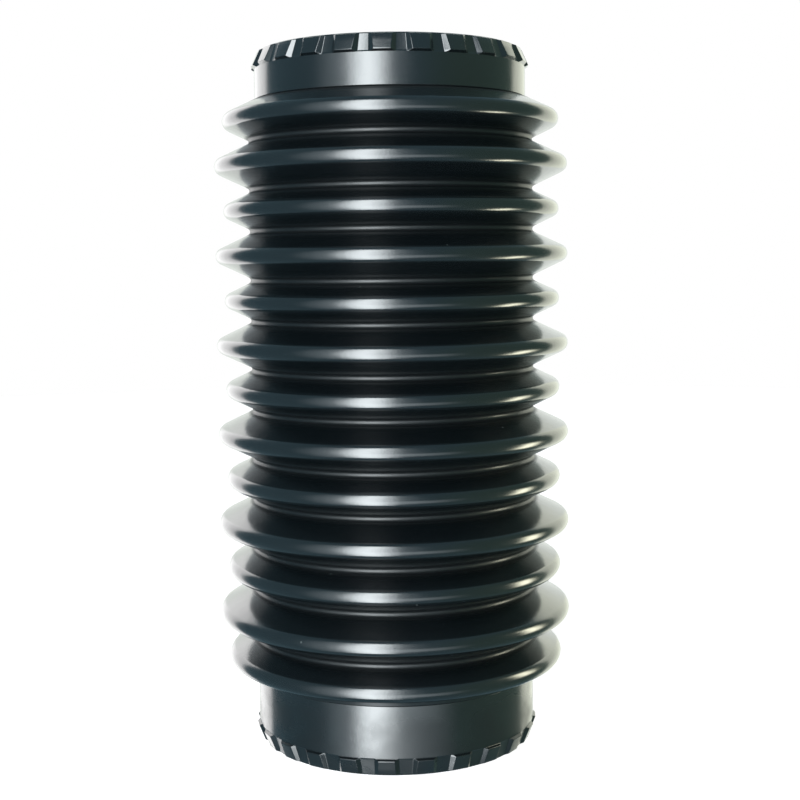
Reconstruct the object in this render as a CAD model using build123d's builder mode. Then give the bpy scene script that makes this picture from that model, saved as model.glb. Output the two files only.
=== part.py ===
from build123d import *
import os
from math import radians, sin, tan

# Rubber bellows boot: one moulded sleeve, open at both ends, in millimetres.
# The axis is Z. The boot stands on its bottom collar, with the origin at the
# centre of that end. Small and large folds take turns between two collars. Each
# collar narrows to a thin lip at its end, and that rim carries a ring of teeth.

# ---- folds ----
fold_count = 13                # odd, so a small fold comes next to each collar
large_crest_diameter = 83.4
small_crest_diameter = 79.4
root_diameter = 67.0           # outside, at the bottom of a groove
flank_angle = 25.4             # degrees from level, the same on every flank
bellows_wall = 1.7
crest_inner_radius = 0.4       # rounding inside a crest
root_outer_radius = 0.8        # rounding outside, at the bottom of a groove

# ---- collars ----
top_bore_diameter = 59.0
bottom_bore_diameter = 61.0
collar_wall = 2.5
top_collar_length = 11.45      # from the end face to the first flank
bottom_collar_length = 15.9
notch_depth = 0.35             # notch under the edge where a collar meets its flank
notch_height = 0.5
bore_end_radius = 0.8          # where a bore opens into the folds

# ---- rim round each end: a cone from the collar's face to a thin lip ----
rim_height = 4.2
rim_step = 0.15                # small step from the cone up to the collar's face
lip_wall = 0.9                 # at the end face
end_radius = 0.25

# ---- teeth ----
tooth_count = 24
top_tooth_angle = -92.7        # degrees, middle of the tooth nearest the front
bottom_tooth_angle = -94.0
top_tooth_width = 5.7          # across the foot
bottom_tooth_width = 5.2
top_tooth_stand = 0.75         # from the collar's face out to the tooth's nose
bottom_tooth_stand = 0.55
tooth_start = 0.2              # from the end face to where the ramp starts
tooth_toe = 0.65               # how far the ramp stands off the rim at its start
nose_height = 3.9              # from the end face to the tooth's nose
tooth_back_angle = 60.0        # degrees from the axis, from the nose to the collar
tooth_draft = 38.0             # degrees that each side of a tooth leans in


# ---- section of the folds ----
# Each flank is a straight line that would run on to a sharp apex at its crest
# and to a sharp apex at its root. The roundings cut those apexes back.
crest_outer_radius = crest_inner_radius + bellows_wall
root_inner_radius = root_outer_radius + bellows_wall
flank_slope = tan(radians(flank_angle))
apex_share = 1 / sin(radians(flank_angle)) - 1
wall_shift = bellows_wall / sin(radians(flank_angle))

root_apex = root_diameter / 2 - root_outer_radius * apex_share


def crest_apex(fold):
    """Radius of a fold's sharp outer apex, counting the folds from 0 at the bottom."""
    diameter = large_crest_diameter if fold % 2 else small_crest_diameter
    return diameter / 2 + crest_outer_radius * apex_share


def half_fold(fold):
    """Height from the crest of a fold to the root on either side of it."""
    return (crest_apex(fold) - root_apex) * flank_slope


def flank_height(fold, radius):
    """Height from the crest of a fold to where its outer flank has this radius."""
    return (crest_apex(fold) - radius) * flank_slope


top_bore = top_bore_diameter / 2
bottom_bore = bottom_bore_diameter / 2
top_collar = top_bore + collar_wall
bottom_collar = bottom_bore + collar_wall
top_fold = fold_count - 1

crest_z = [bottom_collar_length + flank_height(0, bottom_collar)]
for fold in range(1, fold_count):
    crest_z.append(crest_z[-1] + half_fold(fold - 1) + half_fold(fold))
top_flank_z = crest_z[-1] + flank_height(top_fold, top_collar)
height = top_flank_z + top_collar_length


def collar_corners(end_z, flank_z, bore, collar):
    """Outside corners of a collar as (radius, z, rounding), from its end inwards."""
    inward = 1 if flank_z > end_z else -1
    notch_z = flank_z + inward * notch_height
    return [
        (bore + lip_wall, end_z, end_radius),
        (collar - rim_step, end_z + inward * rim_height, 0),
        (collar, end_z + inward * (rim_height + rim_step), 0),
        (collar, flank_z, 0),
        (collar - notch_depth, notch_z, 0),
        (collar + notch_height / flank_slope, notch_z, 0),
    ]


def fold_corners(shift, crest_radius, root_radius):
    """Corners of all the folds, going up, with the section moved in by shift."""
    corners = []
    for fold in range(fold_count):
        corners.append((crest_apex(fold) - shift, crest_z[fold], crest_radius))
        if fold < top_fold:
            root_z = crest_z[fold] + half_fold(fold)
            corners.append((root_apex - shift, root_z, root_radius))
    return corners


outside = (
    collar_corners(0, bottom_collar_length, bottom_bore, bottom_collar)
    + fold_corners(0, crest_outer_radius, root_outer_radius)
    + collar_corners(height, top_flank_z, top_bore, top_collar)[::-1]
)

# Inside, each bore runs straight until it meets the inner face of its flank.
bottom_bore_z = crest_z[0] - flank_height(0, bottom_bore + wall_shift)
top_bore_z = crest_z[-1] + flank_height(top_fold, top_bore + wall_shift)
inside = (
    [(bottom_bore, 0, end_radius), (bottom_bore, bottom_bore_z, bore_end_radius)]
    + fold_corners(wall_shift, crest_inner_radius, root_inner_radius)
    + [(top_bore, top_bore_z, bore_end_radius), (top_bore, height, end_radius)]
)
section = outside + inside[::-1]


def ramp_tooth(end_z, inward, bore, collar, stand, width):
    """One grip tooth at angle 0: a bar with drafted sides that lies along the rim, cut
    to a ramp that rises to a short nose."""
    rim = bore + lip_wall
    root = lip_wall / 2                      # the tooth is rooted this deep in the rim
    foot = width + 2 * root * tan(radians(tooth_draft))
    start_z = end_z + inward * tooth_start
    nose = collar + stand
    nose_z = end_z + inward * nose_height
    back_z = nose_z + inward * (nose - bore - root) / tan(radians(tooth_back_angle))
    along_rim = (collar - rim_step - rim, 0, inward * rim_height)
    with BuildPart() as tooth:
        with BuildSketch(Plane((rim, 0, end_z), x_dir=(0, -inward, 0), z_dir=along_rim)):
            with Locations((0, -root)):
                Trapezoid(foot, nose - rim, 90 - tooth_draft, align=(Align.CENTER, Align.MIN))
        extrude(amount=2 * rim_height)
        with BuildSketch(Plane.XZ):
            with BuildLine():
                Polyline(
                    (bore + root, start_z),
                    (rim + tooth_toe, start_z),
                    (nose, nose_z),
                    (bore + root, back_z),
                    close=True,
                )
            make_face()
        extrude(amount=width, both=True, mode=Mode.INTERSECT)
    return tooth.part


top_tooth = ramp_tooth(height, -1, top_bore, top_collar, top_tooth_stand, top_tooth_width)
bottom_tooth = ramp_tooth(
    0, 1, bottom_bore, bottom_collar, bottom_tooth_stand, bottom_tooth_width
)

with BuildPart() as bellows_boot:
    with BuildSketch(Plane.XZ):
        with BuildLine():
            FilletPolyline(
                *[(radius, z) for radius, z, rounding in section],
                radius=[rounding for radius, z, rounding in section],
                close=True,
            )
        make_face()
    revolve(axis=Axis.Z)
    with PolarLocations(0, tooth_count, start_angle=top_tooth_angle):
        add(top_tooth)
    with PolarLocations(0, tooth_count, start_angle=bottom_tooth_angle):
        add(bottom_tooth)
bellows_boot.part.label = "bellows_boot"

os.makedirs("parts", exist_ok=True)
export_step(bellows_boot.part, "parts/bellows_boot.step")
print(f"height {height:.2f}, crests at " + ", ".join(f"{z:.1f}" for z in crest_z))
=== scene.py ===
"""Rubber bellows boot: black semi-gloss moulded rubber, on a pale floor in soft light."""

import math

import bmesh
import bpy
import numpy as np
from mathutils import Matrix, Vector


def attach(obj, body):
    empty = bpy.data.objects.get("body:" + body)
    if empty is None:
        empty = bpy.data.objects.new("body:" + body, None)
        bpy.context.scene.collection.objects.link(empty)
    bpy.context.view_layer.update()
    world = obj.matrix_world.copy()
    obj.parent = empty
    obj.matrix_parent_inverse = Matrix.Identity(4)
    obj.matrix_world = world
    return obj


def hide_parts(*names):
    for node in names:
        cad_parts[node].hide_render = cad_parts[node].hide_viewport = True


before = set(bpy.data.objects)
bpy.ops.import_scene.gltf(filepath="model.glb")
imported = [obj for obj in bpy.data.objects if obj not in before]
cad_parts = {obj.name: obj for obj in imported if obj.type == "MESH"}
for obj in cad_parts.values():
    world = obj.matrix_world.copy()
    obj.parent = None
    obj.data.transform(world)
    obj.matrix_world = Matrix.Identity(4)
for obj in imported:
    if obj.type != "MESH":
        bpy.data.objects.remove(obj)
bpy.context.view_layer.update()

# The sizes of the boot are in millimetres, and everything else is in metres.
MM = 0.001

# ---- folds ----
FOLD_COUNT = 13
LARGE_CREST = 83.4 / 2
SMALL_CREST = 79.4 / 2
ROOT = 67.0 / 2
FLANK_ANGLE = math.radians(25.4)
BELLOWS_WALL = 1.7
CREST_INNER_RADIUS = 0.4
ROOT_OUTER_RADIUS = 0.8

# ---- collars and rims ----
TOP_BORE = 59.0 / 2
BOTTOM_BORE = 61.0 / 2
COLLAR_WALL = 2.5
TOP_COLLAR_LENGTH = 11.45
BOTTOM_COLLAR_LENGTH = 15.9
NOTCH_DEPTH = 0.35
NOTCH_HEIGHT = 0.5
BORE_END_RADIUS = 0.8
RIM_HEIGHT = 4.2
RIM_STEP = 0.15
LIP_WALL = 0.9
END_RADIUS = 0.25

# ---- grip teeth ----
TOOTH_COUNT = 24
TOP_TOOTH_ANGLE = math.radians(-92.7)
BOTTOM_TOOTH_ANGLE = math.radians(-94.0)
TOP_TOOTH_WIDTH = 5.7
BOTTOM_TOOTH_WIDTH = 5.2
TOP_TOOTH_STAND = 0.75
BOTTOM_TOOTH_STAND = 0.55
TOOTH_START = 0.2
TOOTH_TOE = 0.65
NOSE_HEIGHT = 3.9
TOOTH_BACK_ANGLE = math.radians(60.0)
TOOTH_DRAFT = math.radians(38.0)
TOOTH_FRONT_SLOPE = 4.0         # rise over run of a tooth's end, next to the end face

# ---- fineness of the mesh ----
EDGE = 0.1                      # half the width of the rounding along a moulded edge
RIDGE = 0.05                    # a ring that varies by more than this crosses the teeth
LIP_RING = 0.3                  # share of END_RADIUS at which a lip has its first ring
PAST_RIM = 1.0                  # from a rim to the first plain ring of its collar
CREST_STEPS = 8                 # faces round each kind of rounding
ROOT_STEPS = 5
INNER_CREST_STEPS = 2
INNER_ROOT_STEPS = 3
BORE_END_STEPS = 3
EDGE_STEPS = 2

# ---- camera ----
IMAGE = 800                     # pixels, both ways
CAMERA_DISTANCE = 0.335         # from the boot's axis
CAMERA_HEIGHT = 0.11435
CAMERA_PITCH = math.radians(3.1)     # downwards
CAMERA_ROLL = math.radians(-0.65)
FOCAL_PIXELS = 1400.9
PRINCIPAL_ROW = 333.0
AXIS_COLUMN = 392.3
SENSOR = 36.0
CLIP_START = 0.01


def add_camera():
    """The viewpoint: in front of the boot and a little above its middle."""
    data = bpy.data.cameras.new("camera")
    data.sensor_width = SENSOR
    data.lens = FOCAL_PIXELS / IMAGE * SENSOR
    data.shift_x = (IMAGE / 2 - AXIS_COLUMN) / IMAGE
    data.shift_y = (PRINCIPAL_ROW - IMAGE / 2) / IMAGE
    data.clip_start = CLIP_START
    camera = bpy.data.objects.new("camera", data)
    pitch = Matrix.Rotation(math.pi / 2 - CAMERA_PITCH, 3, "X")
    roll = Matrix.Rotation(CAMERA_ROLL, 3, "Z")
    camera.rotation_euler = (pitch @ roll).to_euler()
    camera.location = (0, -CAMERA_DISTANCE, CAMERA_HEIGHT)
    bpy.context.scene.collection.objects.link(camera)
    bpy.context.scene.camera = camera


# ---- section of the boot, as points (radius, z) ----
CREST_OUTER_RADIUS = CREST_INNER_RADIUS + BELLOWS_WALL
ROOT_INNER_RADIUS = ROOT_OUTER_RADIUS + BELLOWS_WALL
FLANK_SLOPE = math.tan(FLANK_ANGLE)
APEX_SHARE = 1 / math.sin(FLANK_ANGLE) - 1
WALL_SHIFT = BELLOWS_WALL / math.sin(FLANK_ANGLE)
ROOT_APEX = ROOT - ROOT_OUTER_RADIUS * APEX_SHARE
TOP_COLLAR = TOP_BORE + COLLAR_WALL
BOTTOM_COLLAR = BOTTOM_BORE + COLLAR_WALL
TOP_FOLD = FOLD_COUNT - 1


def crest_apex(fold):
    """Radius of a fold's sharp outer apex, counting the folds from 0 at the bottom."""
    crest = LARGE_CREST if fold % 2 else SMALL_CREST
    return crest + CREST_OUTER_RADIUS * APEX_SHARE


def half_fold(fold):
    """Height from the crest of a fold to the root on either side of it."""
    return (crest_apex(fold) - ROOT_APEX) * FLANK_SLOPE


def flank_height(fold, radius):
    """Height from the crest of a fold to where its outer flank has this radius."""
    return (crest_apex(fold) - radius) * FLANK_SLOPE


def crest_heights():
    """Height of every crest, from the bottom up."""
    heights = [BOTTOM_COLLAR_LENGTH + flank_height(0, BOTTOM_COLLAR)]
    for fold in range(1, FOLD_COUNT):
        heights.append(heights[-1] + half_fold(fold - 1) + half_fold(fold))
    return heights


CREST_Z = crest_heights()
TOP_FLANK_Z = CREST_Z[-1] + flank_height(TOP_FOLD, TOP_COLLAR)
HEIGHT = TOP_FLANK_Z + TOP_COLLAR_LENGTH


def rounded(corners):
    """Points along a line of corners (radius, z, rounding, steps), each rounded by an arc."""
    points = []
    for i, (radius, z, rounding, steps) in enumerate(corners):
        here = Vector((radius, z))
        if not rounding:
            points.append(here)
            continue
        back = (Vector(corners[i - 1][:2]) - here).normalized()
        ahead = (Vector(corners[i + 1][:2]) - here).normalized()
        half = back.angle(ahead) / 2
        centre = here + (back + ahead).normalized() * (rounding / math.sin(half))
        start = here + back * (rounding / math.tan(half)) - centre
        side = 1 if back.x * ahead.y > back.y * ahead.x else -1
        for step in range(steps + 1):
            turn = Matrix.Rotation(-side * (math.pi - 2 * half) * step / steps, 2)
            points.append(centre + turn @ start)
    return points


def fold_corners(shift, crest_radius, crest_steps, root_radius, root_steps):
    """Corners of all the folds, going up, with the section moved in by shift."""
    corners = []
    for fold in range(FOLD_COUNT):
        corners.append((crest_apex(fold) - shift, CREST_Z[fold], crest_radius, crest_steps))
        if fold < TOP_FOLD:
            root_z = CREST_Z[fold] + half_fold(fold)
            corners.append((ROOT_APEX - shift, root_z, root_radius, root_steps))
    return corners


def rim_levels(stand):
    """Distances from the end face at which the rim and its teeth have a ring of points."""
    front = TOOTH_START + TOOTH_TOE / TOOTH_FRONT_SLOPE
    back = NOSE_HEIGHT + stand / math.tan(TOOTH_BACK_ANGLE)
    step = RIM_HEIGHT + RIM_STEP
    return sorted([
        END_RADIUS * LIP_RING, TOOTH_START, front - EDGE / 2, front + EDGE / 2,
        NOSE_HEIGHT / 2, NOSE_HEIGHT - 2 * EDGE, NOSE_HEIGHT - EDGE / 2,
        NOSE_HEIGHT + EDGE / 2, RIM_HEIGHT, step, step + EDGE / 2, back + EDGE / 2,
        back + 2 * EDGE])


def rim_radius(level, bore, collar):
    """Radius of the rim between its teeth, at a distance from the end face."""
    lip = bore + LIP_WALL
    if level > RIM_HEIGHT:
        return min(collar, collar - RIM_STEP + level - RIM_HEIGHT)
    cone = lip + (collar - RIM_STEP - lip) * level / RIM_HEIGHT
    if level < END_RADIUS:
        return cone - END_RADIUS + math.sqrt(END_RADIUS**2 - (END_RADIUS - level) ** 2)
    return cone


def tooth_reach(level, bore, collar, stand):
    """Distance of a tooth's flat face from the axis, at a distance from the end face."""
    lip = bore + LIP_WALL
    toe = lip + TOOTH_TOE
    nose = collar + stand
    front = lip + (level - TOOTH_START) * TOOTH_FRONT_SLOPE
    ramp = toe + (nose - toe) * (level - TOOTH_START) / (NOSE_HEIGHT - TOOTH_START)
    back = nose - (level - NOSE_HEIGHT) * math.tan(TOOTH_BACK_ANGLE)
    return min(front, ramp, back)


# Columns of points across the wall on each side of a tooth, from the gap to the tooth's
# face, as (EDGEs outside the wall, share of the tooth's height).
WALL_COLUMNS = ((2, 0.0), (1, 0.1), (-1, 0.9), (-2, 1.0))


def pitch_columns(radius, reach, width):
    """(angle, radius) pairs over one tooth's pitch, at a height where the rim has this
    radius and the tooth's face lies at this reach."""
    half_pitch = math.pi / TOOTH_COUNT
    columns = [(-half_pitch, radius)]
    for edges, part in WALL_COLUMNS:
        edge_radius = math.hypot(reach, width / 2)
        rise = max(0, edge_radius - radius)
        across = width / 2 + edges * EDGE - part * rise * math.tan(TOOTH_DRAFT)
        angle = math.asin(across / radius)
        face = max(radius, reach / math.cos(angle))
        columns.append((-angle, radius + part * (face - radius)))
    columns.append((0, max(radius, reach)))
    return columns + [(-angle, r) for angle, r in columns[-2:0:-1]]


def ring(points_of_pitch, start_angle, z):
    """Closed ring of 3-D points from one pitch's columns, repeated round the boot."""
    points = []
    for tooth in range(TOOTH_COUNT):
        middle = start_angle + tooth * 2 * math.pi / TOOTH_COUNT
        for angle, radius in points_of_pitch:
            turned = middle + angle
            points.append((radius * math.cos(turned), radius * math.sin(turned), z))
    return points


def rim_rings(end_z, bore, stand, width, start_angle):
    """Rings of one toothed rim, from its end face inwards."""
    inward = -1 if end_z else 1
    collar = bore + COLLAR_WALL
    rings = []
    for level in rim_levels(stand):
        radius = rim_radius(level, bore, collar)
        columns = pitch_columns(radius, tooth_reach(level, bore, collar, stand), width)
        rings.append(ring(columns, start_angle, end_z + inward * level))
    return rings


def plain_ring(radius, z):
    """Ring of evenly spaced columns, turned gradually from one rim's teeth to the other's."""
    start = BOTTOM_TOOTH_ANGLE + (TOP_TOOTH_ANGLE - BOTTOM_TOOTH_ANGLE) * z / HEIGHT
    columns = 2 * len(WALL_COLUMNS) + 2
    step = 2 * math.pi / TOOTH_COUNT / columns
    pitch = [((column - columns / 2) * step, radius) for column in range(columns)]
    return ring(pitch, start, z)


def notch_corners(collar, flank_z, inward):
    """Corners of the notch under a collar's edge, from the collar to the flank."""
    notch_z = flank_z + inward * NOTCH_HEIGHT
    return [
        (collar, flank_z, EDGE, EDGE_STEPS),
        (collar - NOTCH_DEPTH, notch_z, EDGE, EDGE_STEPS),
        (collar + NOTCH_HEIGHT / FLANK_SLOPE, notch_z, EDGE, EDGE_STEPS),
    ]


def outside_corners():
    """Corners of the outside between the two rims, going up."""
    return (
        [(BOTTOM_COLLAR, RIM_HEIGHT + PAST_RIM, 0, 0)]
        + notch_corners(BOTTOM_COLLAR, BOTTOM_COLLAR_LENGTH, 1)
        + fold_corners(0, CREST_OUTER_RADIUS, CREST_STEPS, ROOT_OUTER_RADIUS, ROOT_STEPS)
        + notch_corners(TOP_COLLAR, TOP_FLANK_Z, -1)[::-1]
        + [(TOP_COLLAR, HEIGHT - (RIM_HEIGHT + PAST_RIM), 0, 0)]
    )


def inside_corners():
    """Corners of the end faces and the inside, going up."""
    bottom_bore_z = CREST_Z[0] - flank_height(0, BOTTOM_BORE + WALL_SHIFT)
    top_bore_z = CREST_Z[-1] + flank_height(TOP_FOLD, TOP_BORE + WALL_SHIFT)
    return (
        [(BOTTOM_BORE + LIP_WALL - END_RADIUS, 0, 0, 0),
         (BOTTOM_BORE, 0, END_RADIUS, EDGE_STEPS),
         (BOTTOM_BORE, bottom_bore_z, BORE_END_RADIUS, BORE_END_STEPS)]
        + fold_corners(WALL_SHIFT, CREST_INNER_RADIUS, INNER_CREST_STEPS,
                       ROOT_INNER_RADIUS, INNER_ROOT_STEPS)
        + [(TOP_BORE, top_bore_z, BORE_END_RADIUS, BORE_END_STEPS),
           (TOP_BORE, HEIGHT, END_RADIUS, EDGE_STEPS),
           (TOP_BORE + LIP_WALL - END_RADIUS, HEIGHT, 0, 0)]
    )


def boot_rings():
    """All rings of the boot in one closed round: up the outside and down the inside."""
    rings = rim_rings(0, BOTTOM_BORE, BOTTOM_TOOTH_STAND, BOTTOM_TOOTH_WIDTH,
                      BOTTOM_TOOTH_ANGLE)
    rings += [plain_ring(r, z) for r, z in rounded(outside_corners())]
    rings += rim_rings(HEIGHT, TOP_BORE, TOP_TOOTH_STAND, TOP_TOOTH_WIDTH,
                       TOP_TOOTH_ANGLE)[::-1]
    rings += [plain_ring(r, z) for r, z in rounded(inside_corners())[::-1]]
    return rings


def turned(vectors, angles):
    """Vectors turned about Z, each by its own angle."""
    cosine, sine = np.cos(angles), np.sin(angles)
    x, y, z = vectors[..., 0], vectors[..., 1], vectors[..., 2]
    return np.stack([x * cosine - y * sine, x * sine + y * cosine, z], axis=-1)


def ring_normals(points, flat):
    """Smooth normal at every point of a grid of rings. Each face adds its own normal,
    weighted by its area. A curved face's normal is first turned round the axis to the
    point, and a flat face, on a tooth, keeps its own."""
    corners = [points, np.roll(points, -1, 1), np.roll(points, (-1, -1), (0, 1)),
               np.roll(points, -1, 0)]
    face = np.cross(corners[2] - corners[0], corners[3] - corners[1])
    middle = sum(corners) / 4
    azimuth = np.arctan2(middle[..., 1], middle[..., 0])
    total = np.zeros_like(points)
    for corner, back in zip(corners, ((0, 0), (0, 1), (1, 1), (1, 0))):
        turn = np.arctan2(corner[..., 1], corner[..., 0]) - azimuth
        share = turned(face, np.where(flat, 0, turn))
        total += np.roll(share, back, (0, 1))
    return total / np.linalg.norm(total, axis=-1, keepdims=True)


def add_boot():
    """The whole moulding as one closed mesh, which stands for the CAD node."""
    points = np.array(boot_rings()) * MM
    rows, columns = points.shape[:2]
    radius = np.hypot(points[..., 0], points[..., 1])
    ridge = radius - radius.min(axis=1, keepdims=True) > RIDGE * MM
    flat = ridge | np.roll(ridge, -1, 1)
    normals = ring_normals(points, flat)
    faces = []
    for row in range(rows):
        upper = (row + 1) % rows
        for column in range(columns):
            beside = (column + 1) % columns
            faces.append((row * columns + column, row * columns + beside,
                          upper * columns + beside, upper * columns + column))
    mesh = bpy.data.meshes.new("boot_skin")
    mesh.from_pydata(points.reshape(-1, 3).tolist(), [], faces)
    mesh.shade_smooth()
    mesh.normals_split_custom_set_from_vertices(normals.reshape(-1, 3).tolist())
    boot = bpy.data.objects.new("boot_skin", mesh)
    bpy.context.scene.collection.objects.link(boot)
    print("boot_skin:", rows, "rings,", columns, "columns,", 2 * len(faces), "triangles")
    return boot


# ---- nodes ----
def colour_socket(sockets, name):
    """The colour socket of this name. A Mix node has sockets of several types for each."""
    return next(s for s in sockets if s.name == name and s.type == "RGBA")


class Nodes:
    """Short ways to add nodes to one tree. An input is a number, a colour or a socket.
    Add gives back the new node, and the ways below it give back the new node's output."""

    def __init__(self, tree):
        self.tree = tree

    def plug(self, socket, value):
        """Link a socket to an output, or set its own value."""
        if isinstance(value, bpy.types.NodeSocket):
            self.tree.links.new(value, socket)
        elif socket.type == "RGBA":
            socket.default_value = (*value, 1)
        else:
            socket.default_value = value

    def plug_all(self, node, inputs):
        for key, value in dict(inputs).items():
            self.plug(node.inputs[key], value)

    def add(self, kind, inputs=(), **settings):
        node = self.tree.nodes.new(kind)
        for key, value in settings.items():
            setattr(node, key, value)
        self.plug_all(node, inputs)
        return node

    def calculate(self, operation, *values, clamp=False):
        node = self.add("ShaderNodeMath", enumerate(values), operation=operation,
                        use_clamp=clamp)
        return node.outputs["Value"]

    def fade(self, value, limits, ends=(0.0, 1.0), curve="LINEAR"):
        """Goes from one end to the other as the value goes between the limits."""
        node = self.add("ShaderNodeMapRange", {
            "Value": value, "From Min": limits[0], "From Max": limits[1],
            "To Min": ends[0], "To Max": ends[1]}, interpolation_type=curve)
        return node.outputs["Result"]

    def mix(self, factor, first, second):
        """Colour that goes from the first to the second as the factor goes up to 1."""
        node = self.add("ShaderNodeMix", {"Factor": factor}, data_type="RGBA")
        self.plug(colour_socket(node.inputs, "A"), first)
        self.plug(colour_socket(node.inputs, "B"), second)
        return colour_socket(node.outputs, "Result")

    def noise(self, place, scale, detail):
        node = self.add("ShaderNodeTexNoise", {
            "Vector": place, "Scale": scale, "Detail": detail})
        return node.outputs["Fac"]

    def bump(self, height, strength, distance, **below):
        node = self.add("ShaderNodeBump", {
            "Height": height, "Strength": strength, "Distance": distance, **below})
        return node.outputs["Normal"]


def new_material(name):
    """Empty node material, returned with its node maker and its Principled shader."""
    material = bpy.data.materials.new(name)
    material.use_nodes = True
    return material, Nodes(material.node_tree), material.node_tree.nodes["Principled BSDF"]


# ---- rubber ----
RUBBER_DARK = (0.0017, 0.0034, 0.0044)      # from one cloudy patch to another
RUBBER_LIGHT = (0.0035, 0.0057, 0.0070)
CLOUD_SCALE, CLOUD_DETAIL = 45.0, 4.0
CLOUD_RANGE = (0.3, 0.7)        # of the noise, over which the gloss changes
ROUGHNESS = (0.17, 0.25)        # of clean rubber, over that range
RUBBER_IOR = 1.6
COAT_IOR = 1.75
COAT_ROUGHNESS = 0.17
GRAIN_SCALE, GRAIN_DETAIL = 2600.0, 2.0
GRAIN_STRENGTH, GRAIN_DEPTH = 0.16, 0.00005
SWELL_SCALE, SWELL_DETAIL = 160.0, 3.0
SWELL_STRENGTH, SWELL_DEPTH = 0.25, 0.0002

GROOVE_TOP = (0.2, 1.4)         # mm out from a root, over which the dull bottom ends
GROOVE_ROUGHNESS = 0.25         # added at the bottom of a groove
GROOVE_COAT = 0.3               # coat that is left there

SMEAR_SCALE, SMEAR_DETAIL = 110.0, 3.0
SMEAR_RANGE = (0.3, 0.6)        # of the noise, from clean to smeared
SMEAR_END = 0.7                 # share of the bottom collar above which they thin out
SMEAR_ROUGHNESS = 0.14          # added by a full smear
SMEAR_COAT = 0.6                # coat that a full smear takes away

DUST_SCALE = 160.0
DUST_SIZE = 0.035               # radius of a speck, as a share of a cell
DUST_RARITY = 0.7               # share of the cells that stay clean
DUST_COLOUR = (0.10, 0.12, 0.12)


def groove_mask(nodes, axes):
    """1 at the bottom of a groove, 0 on the crests and the collars."""
    level = nodes.add("ShaderNodeCombineXYZ", {"X": axes["X"], "Y": axes["Y"]})
    radius = nodes.add("ShaderNodeVectorMath", {0: level.outputs["Vector"]},
                       operation="LENGTH")
    limits = [(ROOT + rise) * MM for rise in GROOVE_TOP]
    deep = nodes.fade(radius.outputs["Value"], limits, (1.0, 0.0), "SMOOTHSTEP")
    middle = (BOTTOM_COLLAR_LENGTH + TOP_FLANK_Z) / 2 * MM
    reach = (TOP_FLANK_Z - BOTTOM_COLLAR_LENGTH) / 2 * MM
    between_collars = nodes.calculate("COMPARE", axes["Z"], middle, reach)
    return nodes.calculate("MULTIPLY", deep, between_collars)


def smear_mask(nodes, place, axes):
    """Up to 1 in the smears on the bottom collar, 0 on the rest of the boot."""
    limits = (SMEAR_END * BOTTOM_COLLAR_LENGTH * MM, BOTTOM_COLLAR_LENGTH * MM)
    handled = nodes.fade(axes["Z"], limits, (1.0, 0.0))
    smear = nodes.fade(nodes.noise(place, SMEAR_SCALE, SMEAR_DETAIL), SMEAR_RANGE)
    return nodes.calculate("MULTIPLY", handled, smear)


def dust_mask(nodes, place):
    """1 in a few small specks, 0 between them."""
    cells = nodes.add("ShaderNodeTexVoronoi", {"Vector": place, "Scale": DUST_SCALE})
    speck = nodes.calculate("LESS_THAN", cells.outputs["Distance"], DUST_SIZE)
    chosen = nodes.add("ShaderNodeSeparateColor", {"Color": cells.outputs["Color"]})
    rare = nodes.calculate("GREATER_THAN", chosen.outputs["Red"], DUST_RARITY)
    return nodes.calculate("MULTIPLY", speck, rare)


def rubber_material():
    """Black moulded rubber with a semi-gloss coat. It is a little uneven, dull at the
    bottom of the grooves, smeared on the bottom collar, and has a few specks of dust."""
    material, nodes, shader = new_material("rubber")
    place = nodes.add("ShaderNodeTexCoord").outputs["Object"]
    axes = nodes.add("ShaderNodeSeparateXYZ", {"Vector": place}).outputs
    cloudy = nodes.noise(place, CLOUD_SCALE, CLOUD_DETAIL)
    groove = groove_mask(nodes, axes)
    smear = smear_mask(nodes, place, axes)
    dust = dust_mask(nodes, place)

    clean = nodes.fade(cloudy, CLOUD_RANGE, ROUGHNESS)
    smeared = nodes.calculate("MULTIPLY_ADD", smear, SMEAR_ROUGHNESS, clean)
    roughness = nodes.calculate("MULTIPLY_ADD", groove, GROOVE_ROUGHNESS, smeared)

    coat = nodes.fade(groove, (0.0, 1.0), (1.0, GROOVE_COAT))
    coat = nodes.calculate("MULTIPLY_ADD", smear, -SMEAR_COAT, coat)
    coat = nodes.calculate("SUBTRACT", coat, dust, clamp=True)

    ramp = nodes.add("ShaderNodeValToRGB", {"Fac": cloudy})
    for stop, shade in zip(ramp.color_ramp.elements, (RUBBER_DARK, RUBBER_LIGHT)):
        stop.color = (*shade, 1)
    colour = nodes.mix(dust, ramp.outputs["Color"], DUST_COLOUR)

    grain = nodes.noise(place, GRAIN_SCALE, GRAIN_DETAIL)
    swell = nodes.noise(place, SWELL_SCALE, SWELL_DETAIL)
    grain_normal = nodes.bump(grain, GRAIN_STRENGTH, GRAIN_DEPTH)
    normal = nodes.bump(swell, SWELL_STRENGTH, SWELL_DEPTH, Normal=grain_normal)

    nodes.plug_all(shader, {
        "Base Color": colour, "Roughness": roughness, "Normal": normal,
        "IOR": RUBBER_IOR, "Coat Weight": coat, "Coat IOR": COAT_IOR,
        "Coat Roughness": COAT_ROUGHNESS, "Coat Normal": normal})
    return material


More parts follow.
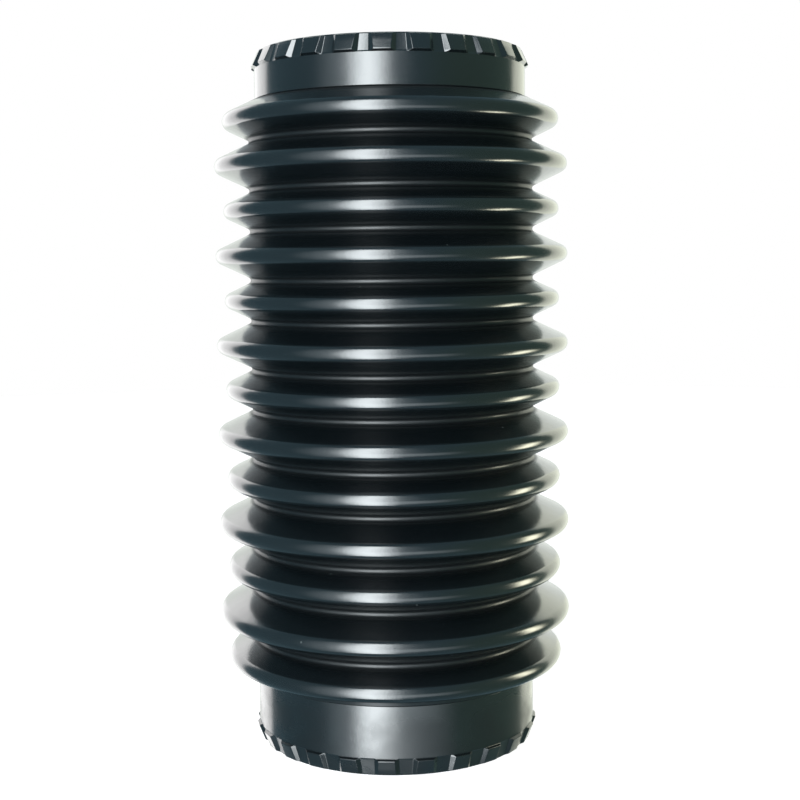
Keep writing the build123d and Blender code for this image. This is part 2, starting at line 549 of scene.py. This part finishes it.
# ---- stage ----
WHITE = (1.0, 1.0, 1.0)
FLOOR_RADIUS = 0.9
FLOOR_SEGMENTS = 96
FLOOR_COLOUR = (0.82, 0.82, 0.82)
FLOOR_ROUGHNESS = 0.9
FLOOR_LIFT = 0.85               # glow that only the camera sees
AMBIENT = (0.22, 0.23, 0.24)    # radiance of the surroundings on matt surfaces
ROOM_LEFT = (0.11, 0.19, 0.23)  # what gloss sees of the room on the camera's side
ROOM_RIGHT = (0.11, 0.18, 0.15)
TURN = (0.2, 0.9)               # from ROOM_LEFT to ROOM_RIGHT, towards +X
BACKDROP = (0.95, 1.0, 0.95)    # the white backdrop behind the boot, as gloss sees it
BACKDROP_LEFT = (1.7, 1.7, 1.7)     # its outer parts, which are brighter
BACKDROP_RIGHT = (1.25, 1.3, 1.1)
SIDES = (-0.1, 0.1)             # from BACKDROP_LEFT to BACKDROP_RIGHT, towards +X
OUTER = (0.26, 0.40)            # from its middle to its outer parts, towards either side
BEHIND = (0.54, 0.60)           # from the room to the backdrop, towards +Y
BACKDROP_EDGE = (0.53, 0.60)    # from the backdrop to the room above and below it
LAMP_DISTANCE = 0.6

# Light that the rubber mirrors twice, from one flank to another, is dimmed, which keeps
# the grooves dark. The world and the lamps count Ray Depth one further than the surface.
MIRRORED = (2, 3)               # Ray Depth after one reflection and after two
DEEP_BACKDROP = 0.3             # share of the backdrop that is left after two
DEEP_LAMP = 0.3                 # share of a lamp that is left after two


def floor_material():
    """Pale floor, which looks white to the camera but keeps the boot's shadow."""
    material, nodes, shader = new_material("floor")
    seen = nodes.add("ShaderNodeLightPath").outputs["Is Camera Ray"]
    lift = nodes.calculate("MULTIPLY", seen, FLOOR_LIFT)
    nodes.plug_all(shader, {
        "Base Color": FLOOR_COLOUR, "Roughness": FLOOR_ROUGHNESS,
        "Emission Color": WHITE, "Emission Strength": lift})
    return material


def add_floor():
    """Pale floor. Lamps that reach below its level still light the boot, as in a tent."""
    mesh = bpy.data.meshes.new("floor")
    shape = bmesh.new()
    bmesh.ops.create_circle(shape, cap_ends=True, radius=FLOOR_RADIUS,
                            segments=FLOOR_SEGMENTS)
    shape.to_mesh(mesh)
    shape.free()
    floor = bpy.data.objects.new("floor", mesh)
    floor.data.materials.append(floor_material())
    floor.visible_shadow = False
    floor.visible_glossy = False
    bpy.context.scene.collection.objects.link(floor)


def add_world():
    """Pale surroundings. The camera sees white, and gloss sees the white backdrop behind
    the boot and a darker, bluish room on the camera's side."""
    world = bpy.data.worlds.new("surroundings")
    world.use_nodes = True
    bpy.context.scene.world = world
    nodes = Nodes(world.node_tree)
    generated = nodes.add("ShaderNodeTexCoord").outputs["Generated"]
    direction = nodes.add("ShaderNodeSeparateXYZ", {"Vector": generated}).outputs
    rays = nodes.add("ShaderNodeLightPath").outputs

    def smooth(value, limits, ends=(0.0, 1.0)):
        return nodes.fade(value, limits, ends, "SMOOTHSTEP")

    height = nodes.calculate("ABSOLUTE", direction["Z"])
    behind = nodes.calculate("MULTIPLY", smooth(direction["Y"], BEHIND),
                             smooth(height, BACKDROP_EDGE, (1.0, 0.0)))
    once = smooth(rays["Ray Depth"], MIRRORED, (1.0, DEEP_BACKDROP))
    behind = nodes.calculate("MULTIPLY", behind, once)

    side = direction["X"]
    room = nodes.mix(smooth(side, TURN), ROOM_LEFT, ROOM_RIGHT)
    outer = nodes.mix(smooth(side, SIDES), BACKDROP_LEFT, BACKDROP_RIGHT)
    off_middle = nodes.calculate("ABSOLUTE", side)
    backdrop = nodes.mix(smooth(off_middle, OUTER), BACKDROP, outer)

    mirrored = nodes.calculate("MAXIMUM", rays["Is Glossy Ray"], rays["Is Transmission Ray"])
    light = nodes.mix(mirrored, AMBIENT, nodes.mix(behind, room, backdrop))
    seen = nodes.mix(rays["Is Camera Ray"], light, WHITE)
    nodes.plug(world.node_tree.nodes["Background"].inputs["Color"], seen)


def add_softbox(name, azimuth, height, size, radiance, colour, feather,
                distance=LAMP_DISTANCE, deep=DEEP_LAMP):
    """Area lamp aimed level at the boot's axis, with its glow fading out over a share of
    its half width and half height. Azimuth 0 is the camera's side, and positive angles
    go to the right. Deep is the share of it that is left after two reflections."""
    data = bpy.data.lights.new(name, "AREA")
    data.shape = "RECTANGLE"
    data.size, data.size_y = size
    data.energy = radiance * math.pi * size[0] * size[1]
    data.color = colour
    lamp = bpy.data.objects.new(name, data)
    angle = math.radians(azimuth)
    lamp.location = (distance * math.sin(angle), -distance * math.cos(angle), height)
    lamp.rotation_euler = (math.pi / 2, 0, angle)
    lamp.visible_camera = False
    bpy.context.scene.collection.objects.link(lamp)

    data.use_nodes = True
    nodes = Nodes(data.node_tree)
    place = nodes.add("ShaderNodeTexCoord", object=lamp).outputs["Object"]
    axes = nodes.add("ShaderNodeSeparateXYZ", {"Vector": place}).outputs
    rays = nodes.add("ShaderNodeLightPath").outputs
    strength = nodes.fade(rays["Ray Depth"], MIRRORED, (1.0, deep))
    for axis, full, share in zip("XY", size, feather):
        off_middle = nodes.calculate("ABSOLUTE", axes[axis])
        limits = (full / 2 * (1 - share), full / 2)
        glow = nodes.fade(off_middle, limits, (1.0, 0.0), "SMOOTHSTEP")
        strength = nodes.calculate("MULTIPLY", strength, glow)
    nodes.plug(data.node_tree.nodes["Emission"].inputs["Strength"], strength)


bpy.context.scene.view_settings.view_transform = "Standard"
add_camera()
add_world()
add_floor()
add_softbox("main_strip", azimuth=-17, height=0.08, size=(0.50, 1.90), radiance=6.4,
            colour=(0.93, 0.98, 1.0), feather=(1.0, 0.15))
add_softbox("main_spill", azimuth=-22, height=0.08, size=(1.20, 1.90), radiance=0.8,
            colour=(0.85, 0.95, 1.0), feather=(1.0, 0.15))
add_softbox("low_spill", azimuth=8, height=-0.20, size=(1.10, 0.50), radiance=0.8,
            colour=(0.90, 0.97, 1.0), feather=(1.0, 0.6))
add_softbox("right_window", azimuth=82, height=0.045, size=(0.05, 0.08), radiance=7.5,
            colour=(1.0, 0.97, 0.75), feather=(1.0, 0.7), distance=0.116, deep=0.0)

boot = add_boot()
boot.data.materials.append(rubber_material())
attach(boot, "root")
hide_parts("bellows_boot")
